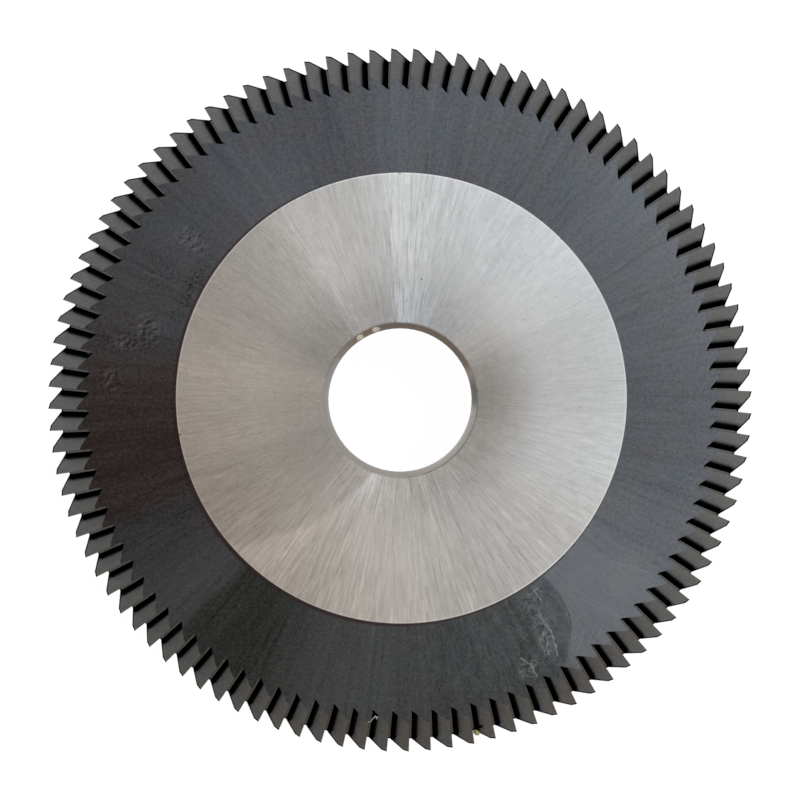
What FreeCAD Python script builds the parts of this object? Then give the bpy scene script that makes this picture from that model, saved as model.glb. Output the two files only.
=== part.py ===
import FreeCAD, Part
import math
import os
import Sketcher

from FreeCAD import Rotation, Vector

# Key cutting wheel: a toothed steel disc, one solid piece.
# Two bevels meet at a narrow rim and slanting gashes cross both, which
# leaves the teeth. A ground hub stands a little proud of the web on each
# side, around a plain bore. The wheel is the same on both sides, so its
# front half is shaped first and then mirrored.
# Frame: the bore's axis is Z and the wheel lies flat, with the middle of
# its rear hub face at the origin. One tooth tip of the rim lies on +X.
# Lengths are in millimetres and angles in degrees.

os.makedirs("parts", exist_ok=True)
doc = FreeCAD.newDocument("cutting_wheel")

# Sizes: name, value and meaning
SIZES = [
    ("outer_diameter", 60.0, "across the tooth tips"),
    ("bore_diameter", 12.7, "hole for the arbor"),
    ("hub_diameter", 37.1, "ground bearing face on each side"),
    ("hub_thickness", 7.3, "between the two hub faces"),
    ("hub_step", 0.1, "height of a hub face above its web"),
    ("bevel_angle", 45.0, "between each bevel and the axis"),
    ("rim_width", 0.5, "axial width of the rim between the bevels"),
    ("tooth_count", 100, "teeth around the rim"),
    ("land_length", 0.49, "from a tooth's tip to its heel"),
    ("land_relief", 17.5, "fall of the land behind the tip"),
    ("back_angle", 42.7, "fall of the tooth's back behind the heel"),
    ("rake_angle", 4.0, "lean of the cutting face, its root ahead of its tip"),
    ("gash_skew", 2.0, "slant of a gash against the radius"),
    ("root_width", 0.15, "narrow flat at the bottom of a gash"),
    ("bore_break", 0.1, "small bevel on each edge of the bore"),
    ("blank_allowance", 0.2, "metal on the blank that the gashes take off"),
    ("tool_clearance", 0.9, "height of the gashing tool above the tips"),
    ("tool_overlap", 0.12, "how far a land's cut runs past the next tip"),
]

sheet = doc.addObject("Spreadsheet::Sheet", "Sizes")
for row, (name, value, meaning) in enumerate(SIZES, start=1):
    sheet.set("A%d" % row, name)
    sheet.set("B%d" % row, "%g" % value)
    sheet.set("C%d" % row, meaning)
    sheet.setAlias("B%d" % row, name)
doc.recompute()


def size(name):
    """Reads a named size from the sheet."""
    return float(sheet.get(name))


# Working values that place the first outline of each sketch
tip_radius = size("outer_diameter") / 2
blank_radius = tip_radius + size("blank_allowance")
bore_radius = size("bore_diameter") / 2
hub_radius = size("hub_diameter") / 2
bore_break = size("bore_break")
half_rim = size("rim_width") / 2
half_hub = size("hub_thickness") / 2
half_web = half_hub - size("hub_step")
bevel_lean = math.radians(size("bevel_angle"))
bevel_run = (half_web - half_rim) * math.tan(bevel_lean)

# The wheel's body, raised so that its rear hub face lies at height zero
wheel = doc.addObject("PartDesign::Body", "CuttingWheel")
wheel.Label = "cutting_wheel"
wheel.setExpression("Placement.Base.z", "Sizes.hub_thickness / 2")

# Names for the points of a sketch element, and for a sketch's own origin
START = 1
END = 2
AXES = -1
H_AXIS = -1


def datum(role):
    """Finds one of the body's own planes or axes by its role."""
    return [item for item in wheel.Origin.OriginFeatures if item.Role == role][0]


def new_sketch(name, role):
    """Starts a sketch on one of the body's own planes."""
    sketch = wheel.newObject("Sketcher::SketchObject", name)
    sketch.AttachmentSupport = (datum(role), [""])
    sketch.MapMode = "FlatFace"
    return sketch


def relate(sketch, *constraint):
    """Adds a relation without a size, such as a shared corner."""
    sketch.addConstraint(Sketcher.Constraint(*constraint))


def dimension(sketch, name, formula, *constraint):
    """Adds a size that follows a formula of the sheet's values."""
    index = sketch.addConstraint(Sketcher.Constraint(*constraint))
    sketch.renameConstraint(index, name)
    sketch.setExpression("Constraints." + name, formula)


# The front half of the blank's section: radius across, height up
section = new_sketch("BlankSection", "XZ_Plane")
corners = [
    Vector(bore_radius, 0, 0),
    Vector(blank_radius, 0, 0),
    Vector(blank_radius, half_rim, 0),
    Vector(blank_radius - bevel_run, half_web, 0),
    Vector(hub_radius, half_web, 0),
    Vector(hub_radius, half_hub, 0),
    Vector(bore_radius + bore_break, half_hub, 0),
    Vector(bore_radius, half_hub - bore_break, 0),
]
sides = range(len(corners))
MIDDLE, RIM, BEVEL, WEB, HUB_SIDE, HUB_FACE, BREAK, BORE = sides
for side in sides:
    following = (side + 1) % len(corners)
    section.addGeometry(Part.LineSegment(corners[side], corners[following]), False)
for side in sides:
    relate(section, "Coincident", side, END, (side + 1) % len(corners), START)
relate(section, "PointOnObject", MIDDLE, START, H_AXIS)
for side in (MIDDLE, WEB, HUB_FACE):
    relate(section, "Horizontal", side)
for side in (RIM, HUB_SIDE, BORE):
    relate(section, "Vertical", side)
dimension(section, "BlankRadius", "Sizes.outer_diameter / 2 + Sizes.blank_allowance",
          "DistanceX", AXES, START, RIM, START, blank_radius)
dimension(section, "RimHalf", "Sizes.rim_width / 2", "DistanceY", RIM, START, RIM, END, half_rim)
dimension(section, "WebHalf", "Sizes.hub_thickness / 2 - Sizes.hub_step",
          "DistanceY", AXES, START, WEB, START, half_web)
dimension(section, "BevelLean", "90 deg + Sizes.bevel_angle * 1 deg",
          "Angle", MIDDLE, START, BEVEL, START, math.pi / 2 + bevel_lean)
dimension(section, "HubRadius", "Sizes.hub_diameter / 2",
          "DistanceX", AXES, START, HUB_FACE, START, hub_radius)
dimension(section, "HubHalf", "Sizes.hub_thickness / 2",
          "DistanceY", AXES, START, HUB_FACE, START, half_hub)
dimension(section, "BoreRadius", "Sizes.bore_diameter / 2",
          "DistanceX", AXES, START, BORE, START, bore_radius)
dimension(section, "BreakWidth", "Sizes.bore_break",
          "DistanceX", BORE, START, BREAK, START, bore_break)
dimension(section, "BreakDepth", "Sizes.bore_break",
          "DistanceY", BORE, START, BREAK, START, bore_break)

blank = wheel.newObject("PartDesign::Revolution", "Blank")
blank.Profile = section
blank.ReferenceAxis = (section, ["V_Axis"])
blank.Angle = 360.0


def turned(point, angle):
    """Turns a flat point about the wheel's axis by an angle in radians."""
    return Rotation(Vector(0, 0, 1), math.degrees(angle)).multVec(point)


def gash_outline(name, height):
    """Draws what one gash takes away, seen along the wheel's axis.

    The outline runs down the cutting face of the tooth on +X, across the
    root, up the back of the next tooth and over that tooth's land.
    """
    pitch = 2 * math.pi / size("tooth_count")
    relief = math.radians(size("land_relief"))
    slope = math.radians(size("back_angle"))
    rake = math.radians(size("rake_angle"))
    clearance = size("tool_clearance")
    root_width = size("root_width")

    tip = Vector(tip_radius, 0, 0)
    next_tip = turned(tip, pitch)
    outward = turned(Vector(1, 0, 0), pitch)
    up_face = turned(Vector(1, 0, 0), -rake)
    up_land = turned(outward, math.pi / 2 - relief)
    up_back = turned(outward, math.pi / 2 - slope)
    heel = next_tip - up_land * size("land_length")
    over = next_tip + up_land * size("tool_overlap")

    # The face and the back, drawn on to the sharp corner where they would
    # meet, and the root that cuts this corner off
    gap = heel - tip
    corner = tip - up_face * (gap.cross(up_back).z / up_back.cross(up_face).z)
    spread = up_back.y / up_back.x - up_face.y / up_face.x
    root_height = root_width / spread
    face_end = corner + up_face * (root_height / up_face.x)
    back_end = corner + up_back * (root_height / up_back.x)

    sketch = new_sketch(name, "XY_Plane")
    sketch.setExpression("AttachmentOffset.Base.z", height)
    top = tip + up_face * clearance
    far = over + outward * clearance
    face, root, back, land, end, lid, first, second = range(8)
    sketch.addGeometry(Part.LineSegment(top, face_end), False)
    sketch.addGeometry(Part.LineSegment(face_end, back_end), False)
    sketch.addGeometry(Part.LineSegment(back_end, heel), False)
    sketch.addGeometry(Part.LineSegment(heel, over), False)
    sketch.addGeometry(Part.LineSegment(over, far), False)
    sketch.addGeometry(Part.LineSegment(far, top), False)
    sketch.addGeometry(Part.LineSegment(Vector(0, 0, 0), tip), True)
    sketch.addGeometry(Part.LineSegment(Vector(0, 0, 0), next_tip), True)

    outline = (face, root, back, land, end, lid)
    for before, after in zip(outline, outline[1:] + outline[:1]):
        relate(sketch, "Coincident", before, END, after, START)
    relate(sketch, "Vertical", root)
    relate(sketch, "Coincident", first, START, AXES, START)
    relate(sketch, "Coincident", second, START, AXES, START)
    relate(sketch, "PointOnObject", first, END, H_AXIS)
    relate(sketch, "Equal", first, second)
    relate(sketch, "PointOnObject", first, END, face)
    relate(sketch, "PointOnObject", second, END, land)
    relate(sketch, "Parallel", end, second)
    dimension(sketch, "TipRadius", "Sizes.outer_diameter / 2",
              "Distance", first, tip_radius)
    dimension(sketch, "Pitch", "360 deg / Sizes.tooth_count",
              "Angle", first, START, second, START, pitch)
    dimension(sketch, "Rake", "Sizes.rake_angle * 1 deg",
              "Angle", face, END, first, START, rake)
    dimension(sketch, "LandRise", "90 deg - Sizes.land_relief * 1 deg",
              "Angle", second, START, land, START, math.pi / 2 - relief)
    dimension(sketch, "BackRise", "90 deg - Sizes.back_angle * 1 deg",
              "Angle", second, START, back, START, math.pi / 2 - slope)
    dimension(sketch, "LandLength", "Sizes.land_length",
              "Distance", land, START, second, END, size("land_length"))
    dimension(sketch, "Overlap", "Sizes.tool_overlap",
              "Distance", second, END, land, END, size("tool_overlap"))
    dimension(sketch, "FaceTop", "Sizes.tool_clearance",
              "Distance", first, END, face, START, clearance)
    dimension(sketch, "EndHeight", "Sizes.tool_clearance",
              "Distance", end, clearance)
    dimension(sketch, "RootWidth", "Sizes.root_width", "Distance", root, root_width)
    return sketch


def gash(name, outline):
    """Cuts one gash upwards from the plane of its outline."""
    pocket = wheel.newObject("PartDesign::Pocket", name)
    pocket.Profile = outline
    pocket.Type = "Length"
    return pocket


def repeat_for_each_tooth(name, original):
    """Repeats one gash all the way round the wheel."""
    ring = wheel.newObject("PartDesign::PolarPattern", name)
    ring.Originals = [original]
    ring.Axis = (datum("Z_Axis"), [""])
    ring.Angle = 360.0
    ring.setExpression("Occurrences", "Sizes.tooth_count")
    wheel.Tip = ring
    return ring


# The gashes straight across the narrow rim
rim_gash = gash("RimGash", gash_outline("RimGashOutline", "0"))
rim_gash.Reversed = True
rim_gash.setExpression("Length", "Sizes.rim_width / 2")
rim_gashes = repeat_for_each_tooth("RimGashes", rim_gash)

# The gashes over the bevel: the same outline, carried inwards as it rises
bevel_gash = gash("BevelGash", gash_outline("BevelGashOutline", "Sizes.rim_width / 2"))
bevel_gash.UseCustomVector = True
bevel_gash.Direction = Vector(-math.tan(bevel_lean), 0, 1)
bevel_gash.setExpression("Direction.x", "-tan(Sizes.bevel_angle * 1 deg)")
bevel_gash.setExpression("Direction.y",
                         "tan(Sizes.bevel_angle * 1 deg) * tan(Sizes.gash_skew * 1 deg)")
bevel_gash.AlongSketchNormal = True
bevel_gash.setExpression("Length", "Sizes.hub_thickness / 2")
bevel_gashes = repeat_for_each_tooth("BevelGashes", bevel_gash)

# The finished front half, and the rear half as its mirror image
doc.recompute()
both_halves = wheel.newObject("PartDesign::Mirrored", "BothHalves")
both_halves.TransformMode = "Whole shape"
both_halves.MirrorPlane = (datum("XY_Plane"), [""])
wheel.Tip = both_halves

doc.recompute()

# Every feature must have been made, and every cut must have taken metal off
for item in doc.Objects:
    if "Invalid" in item.State or "Error" in item.State:
        raise RuntimeError("%s could not be made: %s" % (item.Name, item.State))
steps = [blank, rim_gash, rim_gashes, bevel_gash, bevel_gashes]
for before, after in zip(steps, steps[1:]):
    if not after.Shape.Volume < before.Shape.Volume:
        raise RuntimeError("%s took nothing off" % after.Name)

SUBPARTS = [wheel]
for subpart in SUBPARTS:
    shape = subpart.Shape
    if shape.isNull() or not shape.isValid() or len(shape.Solids) != 1:
        raise RuntimeError("%s is not one valid solid" % subpart.Label)
    shape.exportStep(os.path.join("parts", subpart.Label + ".step"))
    box = shape.BoundBox
    print(subpart.Label, "%.3f x %.3f x %.3f mm" % (box.XLength, box.YLength, box.ZLength),
          "faces", len(shape.Faces), "volume %.1f mm3" % shape.Volume)
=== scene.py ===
# %% [markdown]
# # A key cutting wheel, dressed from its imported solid
#
# The object is one disc of hardened steel. It was turned, gashed to leave
# its teeth, blackened all over in a hot salt bath, and then its two hub
# faces and its bore were ground bright again. So there is one body of metal
# with two finishes, and most of this lesson is about those finishes.
#
# Work is in metres, in the same frame as the solid: the bore's axis is Z
# and the wheel lies flat on the floor with its front hub face up.

# %% Load the frame
import math

import bmesh
import bpy
import numpy as np
from mathutils import Matrix, Vector, noise


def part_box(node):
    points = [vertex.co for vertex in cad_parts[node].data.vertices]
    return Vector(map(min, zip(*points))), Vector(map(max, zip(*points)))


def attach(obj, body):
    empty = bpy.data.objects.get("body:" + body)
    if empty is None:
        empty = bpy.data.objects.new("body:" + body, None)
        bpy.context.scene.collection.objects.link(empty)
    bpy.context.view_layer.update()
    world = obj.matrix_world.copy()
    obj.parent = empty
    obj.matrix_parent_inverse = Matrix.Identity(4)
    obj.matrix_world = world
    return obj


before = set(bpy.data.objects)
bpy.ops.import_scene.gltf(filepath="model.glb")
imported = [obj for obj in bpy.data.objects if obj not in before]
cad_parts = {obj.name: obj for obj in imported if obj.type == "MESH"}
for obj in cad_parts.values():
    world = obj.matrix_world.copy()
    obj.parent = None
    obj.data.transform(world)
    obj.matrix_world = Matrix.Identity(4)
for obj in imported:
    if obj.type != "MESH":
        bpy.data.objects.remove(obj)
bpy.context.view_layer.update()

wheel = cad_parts["cutting_wheel"]
print("pieces in the frame:", sorted(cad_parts))

# %% [markdown]
# ## Sizes to work from
#
# A finish is only believable at its real scale, so a few sizes of the wheel
# are wanted by name. They are measured from the solid's own points: the
# widest and highest ones, the ring of points around the hub's edge, the ones
# nearest the axis, and the lowest ones between two teeth.

# %% Sizes of the wheel
MM = 0.001
low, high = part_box("cutting_wheel")
TOP_HEIGHT = high.z
MID_HEIGHT = (high.z + low.z) / 2

points = np.array([vertex.co for vertex in wheel.data.vertices])
radii = np.hypot(points[:, 0], points[:, 1])
TIP_RADIUS = radii.max()
BORE_RADIUS = radii.min()
HUB_RADIUS = radii[points[:, 2] > TOP_HEIGHT - 0.01 * MM].max()
on_hub_side = np.isclose(radii, HUB_RADIUS, atol=0.01 * MM) & (points[:, 2] > MID_HEIGHT)
WEB_HEIGHT = points[on_hub_side, 2].min()
in_rim = (radii > HUB_RADIUS) & (abs(points[:, 2] - MID_HEIGHT) < 0.5 * MM)
RIM_HALF = abs(points[in_rim, 2] - MID_HEIGHT).max()
ROOT_RADIUS = radii[in_rim].min()
for name, value in (("tip radius", TIP_RADIUS), ("root radius", ROOT_RADIUS), ("hub radius", HUB_RADIUS),
                    ("bore radius", BORE_RADIUS), ("web height", WEB_HEIGHT), ("half rim", RIM_HALF)):
    print("%s %.3f mm" % (name, value / MM))

# %% [markdown]
# ## The camera
#
# The photograph was taken from close by, straight down the bore. How near the
# camera was shows in the bore: its far edge looks smaller than its near edge,
# so the wall between them shows all the way round. The camera is turned a
# little about its own axis, because one tooth of the solid lies exactly on X
# and the nearest tooth of the photograph doesn't.

# %% Camera above the bore
PHOTO_SIZE = 800
PHOTO_CENTRE = (399.4, 399.5)
FOCAL_PIXELS = 1107
SENSOR = 36.0
CAMERA_ABOVE_HUB = 91 * MM
CAMERA_ROLL = math.radians(1.43)

camera_data = bpy.data.cameras.new("camera")
camera_data.sensor_width = SENSOR
camera_data.lens = FOCAL_PIXELS / PHOTO_SIZE * SENSOR
camera_data.clip_start = 1 * MM
camera = bpy.data.objects.new("camera", camera_data)
camera.location = (0, 0, TOP_HEIGHT + CAMERA_ABOVE_HUB)
camera.rotation_euler = (0, 0, -CAMERA_ROLL)
bpy.context.scene.collection.objects.link(camera)
bpy.context.scene.camera = camera


def photo_point(across, down, height=WEB_HEIGHT):
    """Gives the point of the wheel, at a height, that a photo pixel shows."""
    scale = (camera.location.z - height) / FOCAL_PIXELS
    right = (across - PHOTO_CENTRE[0]) * scale
    up = (PHOTO_CENTRE[1] - down) * scale
    return Vector((right * math.cos(CAMERA_ROLL) + up * math.sin(CAMERA_ROLL),
                   up * math.cos(CAMERA_ROLL) - right * math.sin(CAMERA_ROLL), height))


print("lens %.1f mm, camera %.0f mm above the hub" % (camera_data.lens, CAMERA_ABOVE_HUB / MM))

# %% [markdown]
# ## Node helpers
#
# The finishes are built from shader nodes, so four small helpers come first:
# one adds any node and fills its inputs, one does a sum, one does a vector
# sum and one scales a vector. They keep the later cells short enough to read.
#
# The wheel's material is a long one, and Cycles can hold only a couple of
# hundred numbers at once while it works a material out. Past that the whole
# wheel turns black. So a value is kept between 0 and 1 by two plain sums,
# which take less room here than the Math node's own clamp.

# %% Helpers for node trees
def add(tree, kind, inputs=None, **settings):
    """Adds a node, sets its own settings, and fills or links its inputs."""
    node = tree.nodes.new(kind)
    for name, value in settings.items():
        setattr(node, name, value)
    for key, value in (inputs or {}).items():
        if isinstance(value, bpy.types.NodeSocket):
            tree.links.new(value, node.inputs[key])
        else:
            node.inputs[key].default_value = value
    return node


def calc(tree, operation, *values, clamp=False):
    """Adds one sum to a node tree and gives its result, kept between 0 and 1 if asked."""
    total = add(tree, "ShaderNodeMath", dict(enumerate(values)), operation=operation).outputs[0]
    if clamp:
        total = calc(tree, "MINIMUM", calc(tree, "MAXIMUM", total, 0.0), 1.0)
    return total


def calc_vector(tree, operation, *values, output="Vector"):
    """Adds one vector sum to a node tree and gives its result."""
    return add(tree, "ShaderNodeVectorMath", dict(enumerate(values)), operation=operation).outputs[output]


def scaled(tree, vector, factor):
    """Multiplies a vector by a number."""
    return add(tree, "ShaderNodeVectorMath", {0: vector, "Scale": factor}, operation="SCALE").outputs[0]


print("node helpers are ready: add, calc, calc_vector and scaled")

# %% [markdown]
# ## White ground and daylight
#
# The photograph has a plain white ground. World and floor are white where a
# camera ray or a mirror-like ray meets them, through Light Path, and lit at a
# plain level for everything else; the floor keeps a share of its real shading
# and with it the wheel's soft shadow.

# %% World and floor
def seen_directly(tree):
    """Gives 1 for the rays that see the white ground itself, and 0 for the rest."""
    path = add(tree, "ShaderNodeLightPath")
    sharp = calc(tree, "MAXIMUM", path.outputs["Is Camera Ray"], path.outputs["Is Glossy Ray"])
    return calc(tree, "MAXIMUM", sharp, path.outputs["Is Transmission Ray"])


def new_tree(block):
    """Gives a world's or material's node tree, emptied."""
    block.use_nodes = True
    block.node_tree.nodes.clear()
    return block.node_tree


WORLD_LEVEL = 0.55
WHITE = (1, 1, 1, 1)
world = bpy.data.worlds.new("daylight")
bpy.context.scene.world = world
sky = new_tree(world)
plain = add(sky, "ShaderNodeBackground", {"Color": WHITE, "Strength": WORLD_LEVEL})
white = add(sky, "ShaderNodeBackground", {"Color": WHITE, "Strength": 1.0})
either = add(sky, "ShaderNodeMixShader", {0: seen_directly(sky), 1: plain.outputs[0], 2: white.outputs[0]})
add(sky, "ShaderNodeOutputWorld", {"Surface": either.outputs[0]})


def flat_board(name, side_x, side_y, material):
    """Makes a flat rectangle for the studio and links it to the scene."""
    mesh = bpy.data.meshes.new(name)
    x, y = side_x / 2, side_y / 2
    mesh.from_pydata([(-x, -y, 0), (x, -y, 0), (x, y, 0), (-x, y, 0)], [], [(0, 1, 2, 3)])
    mesh.materials.append(material)
    board = bpy.data.objects.new(name, mesh)
    bpy.context.scene.collection.objects.link(board)
    return board


FLOOR_SIDE = 1.2
FLOOR_WHITE = 0.96
FLOOR_GAP = 0.02 * MM
GLOW_LEVEL = 1.02
paper = bpy.data.materials.new("white_paper")
tree = new_tree(paper)
lit = add(tree, "ShaderNodeBsdfDiffuse", {"Color": (0.85, 0.85, 0.85, 1)})
glow = add(tree, "ShaderNodeEmission", {"Color": WHITE, "Strength": GLOW_LEVEL})
share = calc(tree, "MULTIPLY", seen_directly(tree), FLOOR_WHITE)
blend = add(tree, "ShaderNodeMixShader", {0: share, 1: lit.outputs[0], 2: glow.outputs[0]})
add(tree, "ShaderNodeOutputMaterial", {"Surface": blend.outputs[0]})
floor = flat_board("floor", FLOOR_SIDE, FLOOR_SIDE, paper)
floor.location.z = low.z - FLOOR_GAP
print("world level %.2f, floor %.1f m wide" % (WORLD_LEVEL, FLOOR_SIDE))


# %% [markdown]
# ## Window, room and dark board
#
# Metal shows what stands around it. In the photograph the right of the wheel
# mirrors a bright cool window and the left something dark and brownish. A
# soft cool lamp on the right, a weak warm one on the left and a dark brown
# board over the left, which only mirror-like rays see, stand in for them. Area
# lamps are used because their square shape makes soft borders of light.

# %% Lamps and the dark board
def soft_lamp(name, place, side, power, colour):
    """Adds a square lamp that faces the middle of the wheel."""
    data = bpy.data.lights.new(name, "AREA")
    data.shape = "SQUARE"
    data.size = side
    data.energy = power
    data.color = colour
    lamp = bpy.data.objects.new(name, data)
    lamp.location = place
    lamp.rotation_euler = (-Vector(place)).to_track_quat("-Z", "Y").to_euler()
    bpy.context.scene.collection.objects.link(lamp)
    return lamp


soft_lamp("window", (0.42, 0.20, 0.50), 0.42, 3.2, (0.90, 0.96, 1.0))
soft_lamp("room", (-0.30, -0.25, 0.60), 0.30, 0.5, (1.0, 0.93, 0.86))

BOARD_HEIGHT = 0.45
BOARD_SIDE = 1.0
BOARD_START = 0.04
BOARD_DIRECTION = math.radians(212)
wood = bpy.data.materials.new("brown_board")
tree = new_tree(wood)
dim = add(tree, "ShaderNodeEmission", {"Color": (0.34, 0.28, 0.23, 1), "Strength": 1.0})
add(tree, "ShaderNodeOutputMaterial", {"Surface": dim.outputs[0]})
board = flat_board("dark_board", BOARD_SIDE, BOARD_SIDE, wood)
reach = BOARD_START + BOARD_SIDE / 2
board.location = (reach * math.cos(BOARD_DIRECTION), reach * math.sin(BOARD_DIRECTION), BOARD_HEIGHT)
board.rotation_euler.z = BOARD_DIRECTION
board.visible_camera = False
board.visible_diffuse = False
board.visible_shadow = False
board.visible_transmission = False
print("dark board from %.0f mm beside the axis" % (BOARD_START / MM))

# %% [markdown]
# ## Effects kept as node groups
#
# Three effects are wanted again and again with other values, so each becomes
# a node group. All of them work in millimetres from the wheel's own axis, so
# they stay where they are whichever way the wheel is looked at.
#
# `radial_grain` is the mark of a face grinder: fine scratches that run out
# from the bore like spokes. A noise texture makes them if it is fed the
# direction from the bore instead of the place, since all points of a spoke
# then share one value. The radius goes in as a slow third coordinate, so that
# a scratch fades in and out along its length.

# %% Node group: radial grain
FLOAT = "NodeSocketFloat"
VECTOR = "NodeSocketVector"


def new_group(name, inputs, outputs):
    """Starts a shader node group with named sockets."""
    group = bpy.data.node_groups.new(name, "ShaderNodeTree")
    for label, kind, value in inputs:
        socket = group.interface.new_socket(name=label, in_out="INPUT", socket_type=kind)
        socket.default_value = value
    for label in outputs:
        group.interface.new_socket(name=label, in_out="OUTPUT", socket_type=FLOAT)
    return group, add(group, "NodeGroupInput").outputs, add(group, "NodeGroupOutput").inputs


def measure(tree):
    """Gives the place on the wheel in mm: all of it, across the wheel only, height and radius."""
    where = add(tree, "ShaderNodeTexCoord").outputs["Object"]
    place = scaled(tree, where, 1 / MM)
    height = add(tree, "ShaderNodeSeparateXYZ", {0: place}).outputs["Z"]
    across = calc_vector(tree, "MULTIPLY", place, (1, 1, 0))
    radius = calc_vector(tree, "LENGTH", across, output="Value")
    return place, across, height, radius


grain_group, given, result = new_group(
    "radial_grain",
    [("Spokes", FLOAT, 60.0), ("Run", FLOAT, 0.15), ("Detail", FLOAT, 3.0)], ["Grain"])
_, across, height, radius = measure(grain_group)
direction = calc_vector(grain_group, "NORMALIZE", across)
spoke = scaled(grain_group, direction, given["Spokes"])
along = calc(grain_group, "MULTIPLY_ADD", radius, given["Run"], height)
lift = add(grain_group, "ShaderNodeCombineXYZ", {"Z": along}).outputs[0]
streak = add(grain_group, "ShaderNodeTexNoise",
             {"Vector": calc_vector(grain_group, "ADD", spoke, lift), "Scale": 1.0,
              "Detail": given["Detail"], "Roughness": 0.62})
grain_group.links.new(streak.outputs["Fac"], result["Grain"])
print("node group:", grain_group.name)

# %% [markdown]
# `scratch` gives a mask along a straight line between two points, and `patch`
# a mask inside an oval with ragged edges. Between them they place each single
# scratch, nick and smear. `scratch` is handed the place to look at instead of
# measuring it, so that the scratches of one set can share a wavering place.

# %% Node groups: scratch and patch
scratch_group, given, result = new_group(
    "scratch", [("Place", VECTOR, (0, 0, 0)), ("From", VECTOR, (0, 0, 0)), ("To", VECTOR, (1, 0, 0)),
                ("Width", FLOAT, 0.1)], ["Mask"])
line = calc_vector(scratch_group, "SUBTRACT", given["To"], given["From"])
reach = calc_vector(scratch_group, "SUBTRACT", given["Place"], given["From"])
length_squared = calc_vector(scratch_group, "DOT_PRODUCT", line, line, output="Value")
travelled = calc_vector(scratch_group, "DOT_PRODUCT", reach, line, output="Value")
share = calc(scratch_group, "DIVIDE", travelled, length_squared, clamp=True)
gap = calc_vector(scratch_group, "DISTANCE", reach, scaled(scratch_group, line, share), output="Value")
mask = calc(scratch_group, "SUBTRACT", 1.0, calc(scratch_group, "DIVIDE", gap, given["Width"]), clamp=True)
scratch_group.links.new(mask, result["Mask"])

patch_group, given, result = new_group(
    "patch", [("Centre", VECTOR, (0, 0, 0)), ("Along", VECTOR, (1, 0, 0)), ("Aside", VECTOR, (0, 1, 0)),
              ("Ragged", FLOAT, 0.3), ("Grain Size", FLOAT, 1.0), ("Soft", FLOAT, 0.4)], ["Mask"])
across = measure(patch_group)[1]
offset = calc_vector(patch_group, "SUBTRACT", across, given["Centre"])
shares = [calc_vector(patch_group, "DOT_PRODUCT", offset, given[axis], output="Value")
          for axis in ("Along", "Aside")]
squares = [calc(patch_group, "MULTIPLY", share, share) for share in shares]
spread = calc(patch_group, "SQRT", calc(patch_group, "ADD", *squares))
fineness = calc(patch_group, "DIVIDE", 1.0, given["Grain Size"])
torn = add(patch_group, "ShaderNodeTexNoise", {"Vector": across, "Scale": fineness, "Detail": 4.0})
swing = calc(patch_group, "SUBTRACT", torn.outputs["Fac"], 0.5)
edge = calc(patch_group, "MULTIPLY_ADD", swing, given["Ragged"], spread)
inside = calc(patch_group, "DIVIDE", calc(patch_group, "SUBTRACT", 1.0, edge), given["Soft"], clamp=True)
patch_group.links.new(inside, result["Mask"])
print("node groups:", scratch_group.name, patch_group.name)

# %% [markdown]
# ## The wheel's finish: where is what
#
# One Principled shader dresses the whole wheel, and masks say where each
# finish is. The ground disc is a circle that sits 0.2 mm off the axis, as the
# photograph shows: the grinder's cut wandered a little. What lies in the
# gashes is told by the height above their root line, followed down the bevel
# in the direction in which the gashes run.

# %% Masks of the wheel
finish = bpy.data.materials.new("blackened_and_ground_steel")
tree = new_tree(finish)
place, across, height, radius = measure(tree)


def ramp(value, start, stop, low_value=0.0, high_value=1.0):
    """Maps a value smoothly from one range to another."""
    return add(tree, "ShaderNodeMapRange",
               {"Value": value, "From Min": start, "From Max": stop,
                "To Min": low_value, "To Max": high_value},
               interpolation_type="SMOOTHSTEP").outputs["Result"]


def times(*values):
    """Multiplies masks."""
    product = values[0]
    for value in values[1:]:
        product = calc(tree, "MULTIPLY", product, value)
    return product


def join(*masks):
    """Gives the strongest of several masks."""
    strongest = masks[0]
    for mask in masks[1:]:
        strongest = calc(tree, "MAXIMUM", strongest, mask)
    return strongest


def mix(share, first, second):
    """Mixes two colours."""
    node = add(tree, "ShaderNodeMix", {0: share, 6: first, 7: second}, data_type="RGBA")
    return node.outputs[2]


def shade(colour, level):
    """Makes a colour lighter or darker: a mix with black whose share may go past 1."""
    node = add(tree, "ShaderNodeMix", {0: level, 6: (0, 0, 0, 1), 7: colour},
               data_type="RGBA", clamp_factor=False)
    return node.outputs[2]


GROUND_CENTRE = photo_point(400.9, 397.4, TOP_HEIGHT) / MM
GROUND_RADIUS = 18.54
EDGE_SOFT = 0.03
ground_gap = calc_vector(tree, "DISTANCE", across, (GROUND_CENTRE.x, GROUND_CENTRE.y, 0), output="Value")
ground = ramp(ground_gap, GROUND_RADIUS - EDGE_SOFT, GROUND_RADIUS + EDGE_SOFT, 1.0, 0.0)

from_middle = calc(tree, "ABSOLUTE", calc(tree, "SUBTRACT", height, MID_HEIGHT / MM))
past_rim = calc(tree, "MAXIMUM", calc(tree, "SUBTRACT", from_middle, RIM_HALF / MM), 0.0)
carried = calc(tree, "ADD", radius, past_rim)
above_root = calc(tree, "SUBTRACT", carried, ROOT_RADIUS / MM)
WEB_RISE = (WEB_HEIGHT - MID_HEIGHT) / MM
off_web = ramp(from_middle, WEB_RISE - 0.008, WEB_RISE - 0.004, 1.0, 0.0)
toothed = times(off_web, ramp(radius, HUB_RADIUS / MM + 1.0, HUB_RADIUS / MM + 1.5))

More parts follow.
